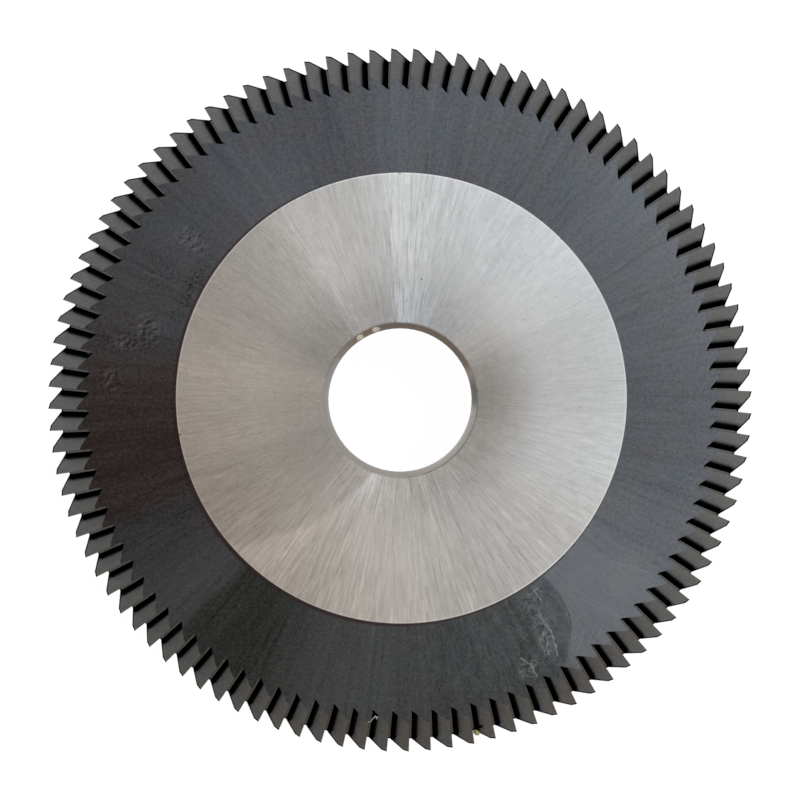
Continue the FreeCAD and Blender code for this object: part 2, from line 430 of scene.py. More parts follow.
normal = add(tree, "ShaderNodeNewGeometry").outputs["True Normal"]
ahead = calc_vector(tree, "CROSS_PRODUCT", (0, 0, 1), calc_vector(tree, "NORMALIZE", across))
faces_ahead = calc_vector(tree, "DOT_PRODUCT", normal, ahead, output="Value")
in_bore = times(ramp(radius, BORE_RADIUS / MM + 0.04, BORE_RADIUS / MM + 0.08, 1.0, 0.0),
                ramp(calc_vector(tree, "DOT_PRODUCT", normal, (0, 0, 1), output="Value"), 0.3, 0.4, 1.0, 0.0))
print("ground disc %.2f mm off the axis" % Vector((GROUND_CENTRE.x, GROUND_CENTRE.y)).length)

# %% [markdown]
# ## Turning a finish around the axis
#
# Much of what differs on this wheel differs by direction from the bore: one
# sector was ground harder, another kept more oil, and the painted light and
# shade on the hub and on the bore's wall change with direction too. A radial
# gradient turned into a colour ramp gives a value for each direction. Its
# stops are written in degrees, anticlockwise from the right of the camera's
# view. One gradient serves all of the ramps: a slow noise makes their borders
# wobble, and a twist lets a border lean as the radius grows.

# %% Values by direction
TWIST_RADIUS = 15.6

circle = add(tree, "ShaderNodeTexGradient", {"Vector": across}, gradient_type="RADIAL").outputs["Fac"]
wander = add(tree, "ShaderNodeTexNoise", {"Vector": across, "Scale": 0.25, "Detail": 3.0}).outputs["Fac"]
wander = calc(tree, "SUBTRACT", wander, 0.5)
outward = calc(tree, "SUBTRACT", radius, TWIST_RADIUS)


def by_direction(stops, wobble=0.0, twist=0.0):
    """Gives a value for each direction; wobble is in degrees, twist in degrees per mm of radius."""
    turned = calc(tree, "MULTIPLY_ADD", wander, wobble / 360, circle)
    if twist:
        turned = calc(tree, "MULTIPLY_ADD", outward, twist / 360, turned)
    node = add(tree, "ShaderNodeValToRGB", {"Fac": calc(tree, "FRACT", turned)})
    node.color_ramp.interpolation = "EASE"
    placed = sorted((((degrees - math.degrees(CAMERA_ROLL)) / 360 + 0.5) % 1.0, level)
                    for degrees, level in stops)
    elements = node.color_ramp.elements
    while len(elements) < len(placed) + 2:
        elements.new(0.5)
    (first, first_level), (last, last_level) = placed[0], placed[-1]
    seam = last_level + (first_level - last_level) * (1 - last) / (1 - last + first)
    for element, (position, level) in zip(elements, [(0.0, seam)] + placed + [(1.0, seam)]):
        element.position = position
        element.color = (level, level, level, 1)
    return add(tree, "ShaderNodeRGBToBW", {0: node.outputs["Color"]}).outputs[0]


def grain(spokes, run, detail=3.0):
    """Places the radial grain with its own values."""
    node = add(tree, "ShaderNodeGroup", node_tree=grain_group)
    for name, value in (("Spokes", spokes), ("Run", run), ("Detail", detail)):
        node.inputs[name].default_value = value
    return node.outputs["Grain"]


def blotches(scale, detail=3.0, roughness=0.55):
    """Places an even noise, its scale in blotches per millimetre."""
    return add(tree, "ShaderNodeTexNoise", {"Vector": place, "Scale": scale, "Detail": detail,
                                            "Roughness": roughness}).outputs["Fac"]


def centred(value, strength, base=1.0):
    """Turns a noise around 0.5 into a swing around a base, which is 1 for a factor."""
    return calc(tree, "MULTIPLY_ADD", calc(tree, "SUBTRACT", value, 0.5), strength, base)


print("helpers for values by direction and for grain are ready")

# %% [markdown]
# Marks are placed by the pixel at which the photograph shows them. The camera
# above tells which point of the wheel that is, so the numbers can be read off
# the picture and the marks still lie on the wheel itself. A drift, two noises
# used as a sideways push, makes a row of straight scratches waver.

# %% Single marks
drifts = []
for scale in (2.2, 2.7):
    wave = add(tree, "ShaderNodeTexNoise", {"Vector": across, "Scale": scale, "Detail": 2.0}).outputs["Fac"]
    drifts.append(calc(tree, "SUBTRACT", wave, 0.5))
drift = add(tree, "ShaderNodeCombineXYZ", {"X": drifts[0], "Y": drifts[1]}).outputs[0]


def line_mark(where, start, end, width, at_height):
    """Places one straight scratch between two photo pixels, its width in pixels."""
    node = add(tree, "ShaderNodeGroup", node_tree=scratch_group)
    tree.links.new(where, node.inputs["Place"])
    pixel = (camera.location.z - at_height) / FOCAL_PIXELS / MM
    for name, (x, y) in (("From", start), ("To", end)):
        point = photo_point(x, y, at_height) / MM
        node.inputs[name].default_value = (point.x, point.y, 0)
    node.inputs["Width"].default_value = width * pixel
    return node.outputs["Mask"]


def trails(lines, width, at_height=WEB_HEIGHT, waver=0.0):
    """Places bent scratches, each through several photo pixels; waver is in mm."""
    where = calc_vector(tree, "ADD", across, scaled(tree, drift, waver)) if waver else across
    mask = None
    for places in lines:
        for start, end in zip(places, places[1:]):
            mark = line_mark(where, start, end, width, at_height)
            mask = join(mask, mark) if mask else mark
    return mask


def spot(centre, reach, turn=0.0, ragged=0.3, grain_size=1.0, soft=0.4, at_height=WEB_HEIGHT):
    """Places one oval patch at a photo pixel, its reach in pixels."""
    node = add(tree, "ShaderNodeGroup", node_tree=patch_group)
    pixel = (camera.location.z - at_height) / FOCAL_PIXELS / MM
    point = photo_point(centre[0], centre[1], at_height) / MM
    node.inputs["Centre"].default_value = (point.x, point.y, 0)
    swing = math.radians(turn) + CAMERA_ROLL
    node.inputs["Along"].default_value = Vector((math.cos(swing), -math.sin(swing), 0)) / (reach[0] * pixel)
    node.inputs["Aside"].default_value = Vector((math.sin(swing), math.cos(swing), 0)) / (reach[1] * pixel)
    node.inputs["Ragged"].default_value = ragged
    node.inputs["Grain Size"].default_value = grain_size
    node.inputs["Soft"].default_value = soft
    return node.outputs["Mask"]


print("helpers for scratches and spots are ready")

# %% [markdown]
# ## Ground steel
#
# The hub is bare steel. Three sets of spokes lie over each other: broad fans
# where the grinder pressed harder, clear grinding lines two to three tenths of
# a millimetre wide, and hair-fine ones between them. Near the bore the steel
# turns brownish in places, and each side has its own tint. Its brightness by
# direction, with fan-shaped highlights, darker sectors and a dimming near the
# bore, is painted light and shade from the reflection of the surroundings.

# %% Light on the ground steel
# Painted light and shade: bright fans and darker sectors by direction stand in for reflections of the
# surroundings.
painted_fans = by_direction([(0, 0.87), (20, 0.90), (35, 1.01), (45, 1.01), (58, 0.93), (75, 0.85), (88, 0.91),
                     (93.2, 0.90), (94.6, 0.77), (105, 0.76), (120, 0.87), (130, 0.74), (150, 0.73),
                     (160, 0.79), (171, 0.93), (185, 0.92), (192, 0.97), (205, 0.90), (220, 1.0),
                     (235, 1.10), (241, 0.98), (257, 1.07), (272, 0.97), (284, 0.83), (297, 0.70),
                     (318, 0.70), (335, 0.81), (347, 0.87)], wobble=2.0, twist=-0.2)
painted_lower_fan = by_direction([(0, 1.0), (225, 0.96), (229, 1.20), (238, 1.10), (255, 1.04), (290, 1.0)],
                         wobble=3.0, twist=2.3)
inner = ramp(radius, BORE_RADIUS / MM + 0.5, BORE_RADIUS / MM + 6.5, 1.0, 0.0)
# Painted shade: the steel is dimmed near the bore, more in some directions than others.
painted_inner_shade = by_direction([(0, 0.45), (20, 0.40), (45, 0.26), (90, 0.22), (110, 0.30), (130, 0.30),
                           (150, 0.24), (165, 0.16), (220, 0.20), (245, 0.05), (260, 0.14), (300, 0.20),
                           (330, 0.34)], wobble=10.0)
painted_inner_shade = times(inner, painted_inner_shade)
near_bore = ramp(radius, BORE_RADIUS / MM + 1.0, BORE_RADIUS / MM + 4.5, 1.0, 0.0)
# Painted sheen: a bluish highlight near the bore, at the top and at the lower left.
painted_sheen = join(by_direction([(0, 0.0), (60, 0.0), (74, 0.7), (89, 1.0), (97, 0.0), (330, 0.0)], wobble=4.0),
             by_direction([(0, 0.0), (226, 0.0), (229.5, 1.0), (234, 0.2), (245, 0.0)],
                          wobble=3.0, twist=2.3))
painted_sheen = times(near_bore, painted_sheen)
print("fans of light laid out")

# %% [markdown]
# The grinding lines are the radial grain, laid over itself at several
# finenesses. Some sectors show clear single lines and others hardly any, so
# their strength differs by direction. Sheets of frosted specks lie on the left.

# %% Grinding lines of the hub
broad = grain(9.0, 0.06, 2.0)
lines = grain(80.0, 0.40)
hairs = grain(150.0, 0.80, 2.0)
mottle = blotches(3.2, 3.0, 0.6)
specks = blotches(7.0, 2.0, 0.7)
ripples = grain(24.0, 2.0, 3.0)
clear = by_direction([(0, 0.35), (45, 0.30), (62, 0.5), (80, 0.9), (85, 1.6), (94, 1.6), (97, 0.12),
                      (118, 0.12), (122, 0.5), (132, 0.5), (138, 0.2), (160, 0.08), (200, 0.08), (226, 0.5),
                      (232, 1.0), (250, 1.0), (300, 0.8), (335, 0.4)])
clear = times(clear, calc(tree, "MULTIPLY_ADD", near_bore, 0.9, 0.7))
cloudy = blotches(1.1, 4.0, 0.6)
crisp_bright = ramp(grain(135.0, 0.22, 1.0), 0.60, 0.68)
crisp_dark = ramp(grain(120.0, 0.35, 1.0), 0.60, 0.68)
crisp = calc(tree, "MULTIPLY_ADD", crisp_dark, -0.20, times(crisp_bright, 0.22))
crisp = centred(lines, 0.30, crisp)
lines_level = calc(tree, "MULTIPLY_ADD", crisp, clear, 1.0)
ripple_level = calc(tree, "MULTIPLY_ADD", times(calc(tree, "SUBTRACT", ripples, 0.5), near_bore), 0.40, 1.0)
frosted = by_direction([(0, 0.2), (90, 0.2), (110, 0.5), (135, 1.0), (210, 1.0), (228, 0.4), (300, 0.3)])
frost = calc(tree, "MULTIPLY_ADD", times(calc(tree, "SUBTRACT", specks, 0.5), frosted), 0.55, 1.0)
print("grinding lines laid out")

# %% [markdown]
# The levels are multiplied into one, and the steel's tint turns from cool to
# brownish by direction and towards the bore. A few long light lines stand out.

# %% Colour of the ground steel
steel_level = times(painted_fans, painted_lower_fan, calc(tree, "SUBTRACT", 1.0, painted_inner_shade), centred(broad, 0.10), frost,
                    lines_level, ripple_level, centred(hairs, 0.30), centred(mottle, 0.16),
                    centred(cloudy, 0.18))
warm = by_direction([(0, 0.05), (60, 0.0), (93, 0.1), (100, 0.4), (150, 0.8), (170, 1.0), (200, 0.8),
                     (270, 0.6), (320, 0.55), (340, 0.1)], wobble=8.0)
warm_inside = by_direction([(0, 1.0), (30, 0.8), (50, 0.2), (90, 0.0), (120, 0.7), (235, 0.7), (250, 0.2),
                            (290, 0.7)], wobble=8.0)
warm = join(warm, times(inner, warm_inside))
COOL_STEEL = (0.497, 0.50, 0.505, 1)
BROWNISH_STEEL = (0.528, 0.499, 0.463, 1)
PAINTED_BLUE_SHEEN = (0.485, 0.505, 0.53, 1)
steel_tint = mix(warm, COOL_STEEL, BROWNISH_STEEL)
# The painted sheen tints the steel bluish here and lightens it below.
steel_tint = mix(times(painted_sheen, 0.8), steel_tint, PAINTED_BLUE_SHEEN)
HUB_LINES = [((383.4, 180), (389.5, 222), (394, 262), (395.5, 300)), ((391, 205), (394.5, 240)),
             ((291, 226), (320, 268), (338, 297), (350, 318)), ((425.5, 215), (425, 260))]
bright_line = times(trails(HUB_LINES, 1.0, TOP_HEIGHT, waver=0.08), ramp(mottle, 0.38, 0.55, 0.35, 1.0))
steel_level = calc(tree, "MULTIPLY_ADD", bright_line, 0.15, steel_level)
steel_level = calc(tree, "MULTIPLY_ADD", painted_sheen, 0.11, steel_level)
steel = shade(steel_tint, steel_level)
print("ground steel coloured")

# %% [markdown]
# Dark hairline scratches cross the hub at the lower right and at the top,
# small pits lie all over it, a painted highlight runs along its rim, and a few
# nicks are dark.

# %% Scratches, pits and nicks on the hub
SCORED_STEEL = (0.14, 0.13, 0.125, 1)
PAINTED_RIM_HIGHLIGHT = (0.64, 0.635, 0.63, 1)
DARK_NICK = (0.04, 0.035, 0.035, 1)
HUB_SCRATCHES = [((507.4, 542.5), (538, 570.6)), ((513.8, 545), (528.5, 561.7)), ((497, 553), (509, 568)),
                 ((425.3, 189), (425.6, 197)), ((425.3, 215), (425.8, 235))]
scored = times(trails(HUB_SCRATCHES, 0.8, TOP_HEIGHT), 0.40)
pits = times(ramp(blotches(4.5, 1.0, 0.5), 0.73, 0.78), 0.45)
steel = mix(join(scored, pits), steel, SCORED_STEEL)
# Painted highlight: a thin light line just inside the edge of the ground disc.
painted_rim_line = times(ramp(ground_gap, GROUND_RADIUS - 0.14, GROUND_RADIUS - 0.08), ground)
steel = mix(times(painted_rim_line, 0.5), steel, PAINTED_RIM_HIGHLIGHT)
NICKS = [((382.8, 622.3), (383.6, 624)), ((399.0, 171), (399.3, 173)), ((178, 434.5), (180, 434.2)),
         ((560.2, 237.4), (561.2, 238.6)), ((421, 278.3), (421, 279))]
nicks = trails(NICKS, 1.0, TOP_HEIGHT)
steel = mix(nicks, steel, DARK_NICK)
print("on the hub:", len(HUB_LINES) + len(HUB_SCRATCHES), "scratches and", len(NICKS), "nicks")

# %% [markdown]
# ## Black oxide
#
# The bath leaves a thin black skin that still shows the turned and ground
# surface under it. It looks blue-grey where it mirrors the window, and brown
# or greenish black where more oil stayed. Oil also takes the shine away in
# ragged patches.

# %% Colour of the black oxide
BROWN_BLACK = (0.026, 0.0235, 0.0260, 1)
BLUE_BLACK = (0.017, 0.022, 0.029, 1)
OILY_BROWN = (0.034, 0.0255, 0.024, 1)
OILY_GREEN = (0.019, 0.023, 0.018, 1)
skin = blotches(0.35, 4.0, 0.6)
soft_lines = grain(30.0, 0.10, 2.0)
ring_lines = grain(75.0, 0.22, 4.0)
oxide = mix(ramp(skin, 0.38, 0.62), BROWN_BLACK, BLUE_BLACK)
brown = by_direction([(0, 0.0), (130, 0.0), (165, 0.15), (174, 0.9), (188, 1.0), (200, 0.9), (206, 0.2),
                      (240, 0.1), (300, 0.0)], wobble=10.0)
green = by_direction([(0, 0.0), (218, 0.0), (224, 0.3), (228, 1.0), (241, 1.0), (245, 0.7), (303, 0.7),
                      (307, 0.0)], wobble=8.0)
oxide = mix(brown, oxide, OILY_BROWN)
oxide = mix(times(green, 0.8), oxide, OILY_GREEN)
scales = blotches(9.0, 2.0, 0.7)
oxide_level = times(centred(ring_lines, 0.35), centred(specks, 0.45), centred(mottle, 0.40),
                    centred(scales, 0.45))
oxide = shade(oxide, oxide_level)
print("black oxide coloured")

# %% [markdown]
# How much shine the oil takes away differs by direction. A pool of oil ends
# in a curved edge at the lower right, and beyond it the ring shines. The pool
# is one large round patch, so its edge is an arc.

# %% Shine taken away by oil
dull = by_direction([(0, 0.40), (20, 0.21), (38, 0.21), (62, 0.45), (78, 0.50), (90, 0.41), (103, 0.56),
                     (125, 0.36), (140, 0.45), (160, 0.54), (171, 0.74), (179, 0.87), (192, 0.92),
                     (201, 0.84), (206, 0.71), (215, 0.57), (221, 0.40), (225, 0.47), (227.5, 0.79),
                     (241, 0.79), (244, 0.68), (251, 0.53), (263, 0.45), (276, 0.59), (298, 0.60),
                     (303, 0.50), (312, 0.45), (317, 0.02), (332, 0.30), (346, 0.42)], wobble=5.0)
pool = spot((490.9, 634.2), (80, 80), ragged=0.05, grain_size=0.8, soft=0.035)
beyond = times(by_direction([(0, 0.0), (300, 0.0), (305, 1.0), (320, 1.0), (326, 0.0)]),
               calc(tree, "SUBTRACT", 1.0, pool))
dull = times(dull, calc(tree, "MULTIPLY_ADD", beyond, -0.97, 1.0))
print("oil's dullness laid out")

# %% [markdown]
# ## Oil on the ring
#
# Oil dried on the ring in places. It left ragged speckled patches on the
# upper left, small light worm-shaped ridges, and at the lower right a curved
# dark edge with bright ridges beside it. The ridges are real, and their light
# colour is partly a painted highlight. The small ridges are contour lines of
# the radial grain: a line runs only where the grain passes a chosen value, so
# they come out curled and stretched outward. Dents in the film have one light
# and one dark flank, which is the slope of a noise. The large ridges and the
# single scratches are placed one by one.

# %% Oil marks on the ring
def contour(value, middle, width):
    """Gives thin lines where a noise passes through one value."""
    return ramp(calc(tree, "ABSOLUTE", calc(tree, "SUBTRACT", value, middle)), 0.0, width, 1.0, 0.0)


def dented(scale, step):
    """Gives the slope of a noise towards one side, which lights one flank of each dent."""
    shifted = calc_vector(tree, "ADD", place, (step, -step, 0))
    here, there = [add(tree, "ShaderNodeTexNoise",
                       {"Vector": where, "Scale": scale, "Detail": 3.0, "Roughness": 0.6}).outputs["Fac"]
                   for where in (place, shifted)]
    return calc(tree, "SUBTRACT", here, there)


flow = grain(38.0, 0.80, 3.0)
worms = join(contour(flow, 0.50, 0.030), contour(flow, 0.43, 0.025), contour(flow, 0.58, 0.025))
worms = times(worms, ramp(blotches(2.4, 1.0), 0.44, 0.52))
worm_places = join(
    spot((123, 343), (20, 9), 10, 0.8, 0.8, 0.6), spot((146, 329), (22, 21), 0, 0.9, 1.0, 0.7),
    spot((109, 380), (12, 18), 0, 0.8, 0.8, 0.6), spot((190, 240), (22, 14), 40, 0.8, 1.0, 0.7))
oily = join(
    spot((543, 634), (10, 36), -14, 0.6, 0.8, 0.5), spot((528, 667), (17, 12), -40, 0.7, 0.8, 0.5),
    spot((532, 597), (10, 20), 30, 0.8, 0.8, 0.6))
OIL_RIDGES = [((540, 615.3), (543.8, 623), (551.4, 631.8), (554.6, 644.6), (556.5, 654.8)),
              ((540, 639.5), (543.8, 631.8)), ((547.6, 640.8), (546.3, 648.4), (549, 653.5)),
              ((533.5, 590), (541, 601)), ((520, 657), (531, 665), (536, 676))]
ridges = times(trails(OIL_RIDGES, 1.2, waver=0.35), ramp(specks, 0.30, 0.55))
oil_ridges_and_highlights = join(ridges, times(worms, oily, 0.55))
dents = times(dented(2.2, 0.10), join(worm_places, times(oily, 0.7)))
print("oil marks:", len(OIL_RIDGES), "ridges")

# %% [markdown]
# The ring's scratches are bright where they cut through to steel and dark
# where they hold oil. Speckles and pale smears lie at the upper left. All of
# these are mixed over the oxide's colour, the strongest last.

# %% Scratches and smears on the ring
SPECKLE_DARK = (0.017, 0.021, 0.020, 1)
PALE_FILM = (0.045, 0.036, 0.032, 1)
DRIED_OIL_AND_HIGHLIGHT = (0.125, 0.135, 0.132, 1)
LIGHT_SCRATCH = (0.11, 0.115, 0.12, 1)
DARK_SCRATCH = (0.012, 0.010, 0.010, 1)
LIGHT_SCRATCHES = [((573, 588), (600, 604), (622, 617.8)), ((578, 597), (624, 621)), ((613, 561), (651, 573)),
                   ((584, 629), (578, 647)), ((593, 629), (587, 644)), ((601, 628), (596, 640)),
                   ((572, 638), (587, 629)), ((671, 221), (652, 238)), ((625, 262), (612, 271))]
streaks = times(trails(LIGHT_SCRATCHES, 1.1, waver=0.1), ramp(mottle, 0.35, 0.55, 0.1, 0.35))
DARK_SCRATCHES = [((152, 306.5), (168, 315.5), (182.6, 323)),
                  ((551.4, 588.5), (561.6, 600), (568, 612.7), (570.6, 623), (569.3, 635.7)),
                  ((610, 641), (611.5, 643)), ((708.4, 318.4), (709.6, 319.6)),
                  ((714.4, 361.2), (715.6, 362.4)), ((718.6, 351), (718.9, 352.6)),
                  ((388.6, 722), (389.4, 723.4)), ((427, 720.4), (428.2, 721.6))]
scores = times(trails(DARK_SCRATCHES, 0.9, waver=0.2), 0.75)

speckled = join(spot((194, 283), (14, 50), 30, 0.5, 0.8, 0.8),
                times(spot((158, 276), (26, 30), 20, 0.7, 1.0, 0.8), 0.5))
speckle = times(speckled, ramp(blotches(4.6, 2.0, 0.65), 0.44, 0.62))
pale = times(worm_places, ramp(blotches(1.2, 3.0), 0.45, 0.6))
oxide = mix(times(speckle, 0.8), oxide, SPECKLE_DARK)
oxide = mix(times(pale, 0.5), oxide, PALE_FILM)
# Real ridges of dried oil, their pale colour partly a painted highlight.
oxide = mix(oil_ridges_and_highlights, oxide, DRIED_OIL_AND_HIGHLIGHT)
oxide = mix(streaks, oxide, LIGHT_SCRATCH)
oxide = mix(scores, oxide, DARK_SCRATCH)
print("on the ring:", len(LIGHT_SCRATCHES), "light and", len(DARK_SCRATCHES), "dark scratches")

# %% [markdown]
# ## Teeth and gashes
#
# Each tooth's back is grey at its top and turns black towards the root. That
# black is painted shade for the deep gashes, where no light gets in. The
# cutting face stays lighter. The tips have a brown temper colour from
# grinding, and the outline of each tooth has a thin dark edge. One notch holds
# a brown stain beside the crumb, and one tooth is chipped so that its root
# stays light.

# %% Colour of the teeth
TOOTH_COOL = (0.033, 0.032, 0.024, 1)
TOOTH_WARM = (0.054, 0.042, 0.028, 1)
TEMPER_BROWN = (0.210, 0.136, 0.102, 1)
OUTLINE_DARK = (0.020, 0.010, 0.006, 1)
STAIN_BROWN = (0.022, 0.017, 0.004, 1)
PAINTED_GULLET_SHADE = (0.0015, 0.0015, 0.0015, 1)
tooth_back = ramp(faces_ahead, -0.4, -0.2, 1.0, 0.0)
# Painted shade: the backs of the teeth are coloured black towards the root of each gash.
painted_gullet_shade = times(toothed, tooth_back, ramp(above_root, 0.20, 0.80, 1.0, 0.0))
chip = spot((88.3, 352.4), (3.0, 2.0), 15, 0.9, 0.15, 0.3, MID_HEIGHT + 3 * MM)
painted_gullet_shade = times(painted_gullet_shade, calc(tree, "MULTIPLY_ADD", chip, -0.8, 1.0))
tooth_warm = by_direction([(0, 0.45), (90, 0.5), (180, 0.25), (225, 0.75), (270, 1.0), (300, 0.95),
                           (330, 0.7)])
tooth_grey = mix(tooth_warm, TOOTH_COOL, TOOTH_WARM)
tooth_grey = shade(tooth_grey, centred(specks, 0.5))
oxide = mix(toothed, oxide, tooth_grey)
temper = times(toothed, ramp(radius, TIP_RADIUS / MM - 0.50, TIP_RADIUS / MM - 0.05))
oxide = mix(temper, oxide, TEMPER_BROWN)
dark_edge = times(toothed, ramp(past_rim, 0.13, 0.26, 1.0, 0.0))
oxide = mix(dark_edge, oxide, OUTLINE_DARK)
floor_or_face = join(ramp(above_root, 0.04, 0.10, 1.0, 0.0), ramp(faces_ahead, 0.3, 0.5))
slot_side = times(toothed, floor_or_face, ramp(past_rim, 2.85, 3.05))
tooth_shade = by_direction([(0, 0.25), (30, 0.31), (60, 0.34), (90, 0.35), (120, 0.33), (150, 0.34),
                            (180, 0.38), (210, 0.53), (240, 0.66), (270, 0.72), (300, 0.62), (330, 0.38)])
tooth_shade = centred(scales, 0.70, tooth_shade)
tooth_shade = centred(mottle, 0.50, tooth_shade)
tooth_dull = times(toothed, join(tooth_shade, times(temper, 0.9), times(dark_edge, 0.97),
                                 times(slot_side, 0.85)))
stain = times(tooth_back, spot((480.0, 724.2), (4.8, 5.0), 20, 0.6, 0.3, 0.6, MID_HEIGHT + 0.7 * MM))
tooth_dull = join(tooth_dull, stain)
oxide = mix(times(stain, 0.9), oxide, STAIN_BROWN)
# The painted gullet shade goes over everything else on the teeth.
oxide = mix(painted_gullet_shade, oxide, PAINTED_GULLET_SHADE)
print("teeth coloured")

# %% [markdown]
# ## The bore and the band around the ground disc
#
# The bore's wall is seen almost edge-on. It is browned at the top, and its
# level by direction is painted light and shade: grey on the left, lighter below
# and darker on the right and at the top. Just outside the ground disc a thin
# reddish brown band is left, wider at the lower left because the disc isn't
# quite centred.

# %% Bore wall and the brown band
WALL_PLAIN = (1.05, 1.0, 0.93, 1)
WALL_BROWNED = (1.35, 1.0, 0.70, 1)
BAND_BROWN = (0.034, 0.017, 0.015, 1)
# Painted light and shade: the wall's brightness changes with the side it faces.
wall_light_and_mottle = by_direction([(0, 0.28), (10, 0.24), (20, 0.42), (30, 0.23), (45, 0.20), (100, 0.205),
                           (130, 0.28), (142, 0.34), (150, 0.44), (180, 0.50), (230, 0.49), (270, 0.54),
                           (310, 0.69), (350, 0.66)])
wall_brown = by_direction([(0, 0.0), (15, 0.4), (30, 1.0), (120, 1.0), (140, 0.5), (155, 0.0), (270, 0.2),
                           (340, 0.0)])
wall_tint = mix(wall_brown, WALL_PLAIN, WALL_BROWNED)
wall_light_and_mottle = times(wall_light_and_mottle, centred(mottle, 0.8))
wall = shade(wall_tint, wall_light_and_mottle)
BAND_CENTRE = photo_point(398.6, 398.9) / MM
BAND_RADIUS = 18.70
band_gap = calc_vector(tree, "DISTANCE", across, (BAND_CENTRE.x, BAND_CENTRE.y, 0), output="Value")
band_gap = centred(mottle, 0.30, band_gap)
band = times(ramp(band_gap, BAND_RADIUS - 0.05, BAND_RADIUS + 0.08, 1.0, 0.0),
             ramp(ground_gap, GROUND_RADIUS, GROUND_RADIUS + EDGE_SOFT))
band_level = by_direction([(0, 0.6), (90, 0.7), (180, 1.0), (270, 0.9)])
oxide = mix(times(band, band_level, 0.85), oxide, BAND_BROWN)
print("bore and band coloured")

# %% [markdown]
# ## Putting the finish together
#
# Black oxide is no metal to the eye, so it has Metallic 0 and a clear but weak
# shine; bare steel has Metallic 1. Where oil or dirt takes the shine away, and
# in the painted shade at the bottoms of the gashes, the oxide is turned towards
# a metal of its own dark colour, since a metal only mirrors with its colour.

# %% Colour and shine of the whole wheel
colour = mix(ground, oxide, steel)
colour = mix(in_bore, colour, wall)
bare = join(ground, in_bore)
streaky = dull
for pattern, strength in ((soft_lines, 0.30), (ring_lines, 0.40), (mottle, 0.70), (skin, -0.30),
                          (scales, 1.10)):
    streaky = centred(pattern, strength, streaky)
streaky = calc(tree, "MULTIPLY_ADD", speckle, 0.35, streaky)
streaky = calc(tree, "MULTIPLY_ADD", dents, 3.0, streaky)
streaky = calc(tree, "MULTIPLY_ADD", ramp(grain(60.0, 0.12, 1.0), 0.60, 0.68), 0.08, streaky)
streaky = calc(tree, "MULTIPLY_ADD", times(calc(tree, "SUBTRACT", flow, 0.5), pool), 0.65, streaky)
streaky = calc(tree, "MULTIPLY_ADD", pale, -0.12, streaky, clamp=True)
streaky = times(streaky, calc(tree, "SUBTRACT", 1.0, join(oil_ridges_and_highlights, streaks)))
on_ring = calc(tree, "SUBTRACT", 1.0, toothed)
lost = join(times(streaky, on_ring), times(scores, on_ring), tooth_dull, painted_gullet_shade, times(band, 0.8))
metallic = join(bare, lost)
print("colour and shine joined")

# %% [markdown]
# A blurred finish is rough and a mirror is not. The ground hub is smoother
# than the bore, and the painted black bottoms of the gashes are the smoothest,
# so that no blurred light of a lamp spreads over them. The grain also goes into
# a fine bump. It is kept shallow, since real grinding marks are only microns
# deep.

# %% Roughness and relief
GULLET_ROUGH = 0.06
BORE_ROUGH = 0.75
RELIEF_DEPTH = 0.005 * MM
steel_rough = ramp(lines, 0.3, 0.7, 0.30, 0.40)
oxide_rough = ramp(skin, 0.3, 0.7, 0.42, 0.34)
rough_gap = calc(tree, "SUBTRACT", steel_rough, oxide_rough)
roughness = calc(tree, "MULTIPLY_ADD", rough_gap, ground, oxide_rough)
roughness = join(roughness, times(in_bore, BORE_ROUGH))
roughness = calc(tree, "MULTIPLY_ADD", painted_gullet_shade, calc(tree, "SUBTRACT", GULLET_ROUGH, roughness), roughness)

relief = calc(tree, "MULTIPLY", hairs, 0.5)
relief = calc(tree, "ADD", lines, relief)
relief = calc(tree, "MULTIPLY_ADD", mottle, 0.8, relief)
relief = calc(tree, "MULTIPLY_ADD", times(scales, on_ring), 0.8, relief)
bump = add(tree, "ShaderNodeBump", {"Height": relief, "Strength": 0.6, "Distance": RELIEF_DEPTH})
print("relief %.0f thousandths of a millimetre deep" % (RELIEF_DEPTH / MM * 1000))

# %% [markdown]
# Anisotropic stretches the shine across the grain, around the axis that the
# Tangent node names. Specular Tint also dims what a metal mirrors at a slant,
# so it is set to about half, which keeps the oily parts dull from the side
# too. It takes light from the clean oxide as well, and a higher IOR gives that
# back.

# %% The wheel's material
STRETCH = 0.6
OXIDE_IOR = 1.97
SLANT_TINT = (0.449, 0.4725, 0.505, 1)
surface = add(tree, "ShaderNodeBsdfPrincipled",
              {"Base Color": colour, "Metallic": metallic, "Roughness": roughness, "Normal": bump.outputs[0]})
surface.inputs["Anisotropic"].default_value = STRETCH
surface.inputs["IOR"].default_value = OXIDE_IOR
surface.inputs["Specular IOR Level"].default_value = 1.0
surface.inputs["Specular Tint"].default_value = SLANT_TINT
around_axis = add(tree, "ShaderNodeTangent", direction_type="RADIAL", axis="Z")
tree.links.new(around_axis.outputs[0], surface.inputs["Tangent"])
add(tree, "ShaderNodeOutputMaterial", {"Surface": surface.outputs[0]})
wheel.data.materials.clear()
wheel.data.materials.append(finish)
print("material:", finish.name, "with", len(tree.nodes), "nodes")

# %% [markdown]
# ## A crumb, two dabs of grease and a hair
#
# Bits of dirt stay on the wheel as they were found. A yellowish crumb is
# stuck in the notch between two teeth, two dabs of old cream-coloured grease
# cling to the bore's wall, and a short pale hair lies over the mouth of a
# gash. Crumb and dabs are spheres whose points are moved in and out by a
# noise, which keeps them lumpy from all sides.

# %% Crumb in a notch
LUMPS = 0.28
DIRT_ROUGH = 0.7


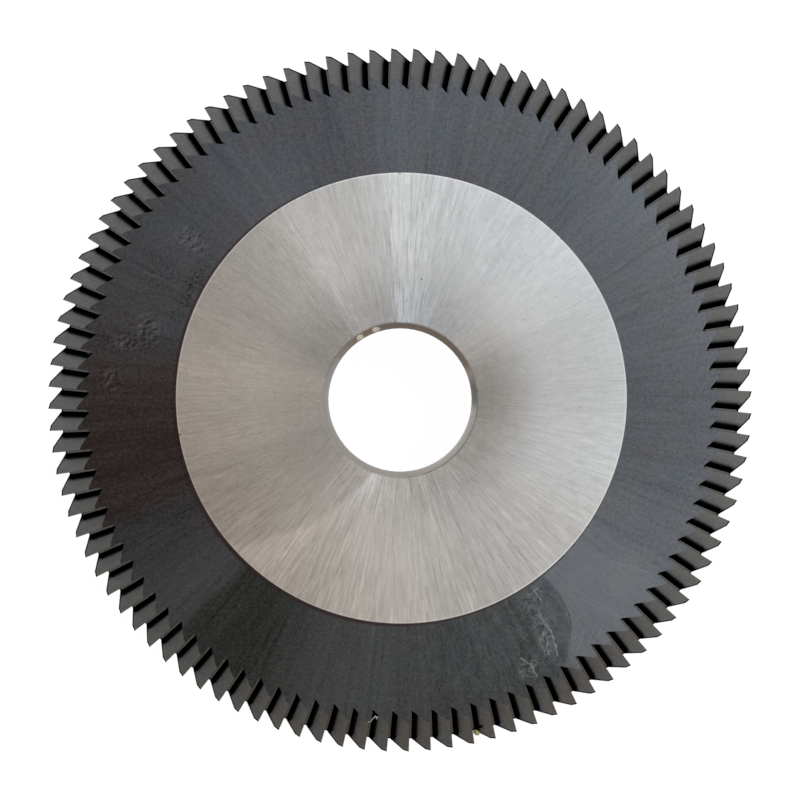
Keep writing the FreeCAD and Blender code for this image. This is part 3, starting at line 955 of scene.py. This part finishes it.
def dirt_material(name, dark, light, lump_scale):
    """Makes a dull two-toned material for a bit of dirt; lump_scale is per millimetre."""
    material = bpy.data.materials.new(name)
    dirt = new_tree(material)
    place = measure(dirt)[0]
    lumps = add(dirt, "ShaderNodeTexNoise",
                {"Vector": place, "Scale": lump_scale, "Detail": 3.0}).outputs["Fac"]
    tone = add(dirt, "ShaderNodeMapRange",
               {"Value": lumps, "From Min": 0.35, "From Max": 0.65}).outputs["Result"]
    tint = add(dirt, "ShaderNodeMix", {0: tone, 6: dark, 7: light}, data_type="RGBA").outputs[2]
    grit = add(dirt, "ShaderNodeBump", {"Height": lumps, "Strength": 0.5, "Distance": 0.02 * MM})
    body = add(dirt, "ShaderNodeBsdfPrincipled", {"Base Color": tint, "Normal": grit.outputs[0]})
    body.inputs["Roughness"].default_value = DIRT_ROUGH
    add(dirt, "ShaderNodeOutputMaterial", {"Surface": body.outputs[0]})
    return material


def lumpy_bit(name, centre, size, turn, material):
    """Makes a lumpy ball of dirt, its three half sizes turned about the wheel's axis."""
    mesh = bpy.data.meshes.new(name)
    shape = bmesh.new()
    bmesh.ops.create_icosphere(shape, subdivisions=4, radius=1.0)
    swing = Matrix.Rotation(turn, 3, "Z")
    for vertex in shape.verts:
        lump = 1 + LUMPS * noise.noise(vertex.co * 1.7 + centre / MM)
        vertex.co = centre + swing @ (vertex.co * lump * size)
    shape.to_mesh(mesh)
    shape.free()
    mesh.shade_smooth()
    mesh.materials.append(material)
    piece = bpy.data.objects.new(name, mesh)
    bpy.context.scene.collection.objects.link(piece)
    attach(piece, "root")
    print(name + ":", len(mesh.vertices), "points")


CRUMB_CENTRE = photo_point(475.8, 731.0, MID_HEIGHT + RIM_HALF)
CRUMB_SIZE = Vector((0.35, 0.26, 0.26)) * MM
CRUMB_TURN = math.radians(-38)
yellow = dirt_material("yellow_crumb", (0.21, 0.18, 0.045, 1), (0.44, 0.41, 0.18, 1), 3.0)
lumpy_bit("crumb", CRUMB_CENTRE, CRUMB_SIZE, CRUMB_TURN, yellow)

# %% [markdown]
# Each dab is wiped lengthways along the bore, as an arbor leaves it, so it is
# long, narrow and very flat. Most of its thickness is sunk in the wall, which
# leaves a low rounded bulge.

# %% Grease on the bore's wall
DAB_PLACES = ((359.1, 336.6), (375.3, 328.2))
DAB_SIZE = Vector((0.15, 0.34, 2.5)) * MM
DAB_DEPTH = 3.0 * MM
cream = dirt_material("cream_grease", (0.84, 0.78, 0.58, 1), (0.97, 0.93, 0.78, 1), 5.0)
for number, dab_place in enumerate(DAB_PLACES):
    toward = photo_point(*dab_place)
    dab_turn = math.atan2(toward.y, toward.x)
    dab_centre = Vector((BORE_RADIUS * math.cos(dab_turn), BORE_RADIUS * math.sin(dab_turn),
                         TOP_HEIGHT - DAB_DEPTH))
    lumpy_bit("grease_dab_%d" % (number + 1), dab_centre, DAB_SIZE, dab_turn, cream)

# %% [markdown]
# The hair is a thin round bevel along two smooth curves that lie on the web
# and reach over the mouth of a gash. A curve bends evenly between few points
# and is as thick as a real hair from every side.

# %% Hair over a gash
HAIR_RADIUS = 0.036 * MM
HAIR_TRAILS = [((367.0, 721.3), (369.6, 721.7), (371.4, 719.4), (373.2, 717.0), (375.0, 715.6),
                (376.8, 717.2), (378.4, 716.8)),
               ((374.4, 715.2), (375.6, 716.8), (376.2, 718.8))]
hair_curve = bpy.data.curves.new("hair", "CURVE")
hair_curve.dimensions = "3D"
hair_curve.bevel_depth = HAIR_RADIUS
hair_curve.bevel_resolution = 3
hair_curve.use_fill_caps = True
for places in HAIR_TRAILS:
    spline = hair_curve.splines.new("NURBS")
    spline.points.add(len(places) - 1)
    for point, (across_photo, down_photo) in zip(spline.points, places):
        point.co = (*photo_point(across_photo, down_photo, WEB_HEIGHT + HAIR_RADIUS), 1)
    spline.order_u = 3
    spline.use_endpoint_u = True
    spline.resolution_u = 8
hair_curve.materials.append(dirt_material("pale_hair", (0.17, 0.16, 0.15, 1), (0.36, 0.34, 0.32, 1), 2.0))
hair = bpy.data.objects.new("hair", hair_curve)
bpy.context.scene.collection.objects.link(hair)
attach(hair, "root")
print("hair:", len(HAIR_TRAILS), "strands")

# %% [markdown]
# ## Last settings
#
# The Standard view shows the tones as they are lit, so the white ground stays
# white.

# %% View settings
bpy.context.scene.view_settings.view_transform = "Standard"
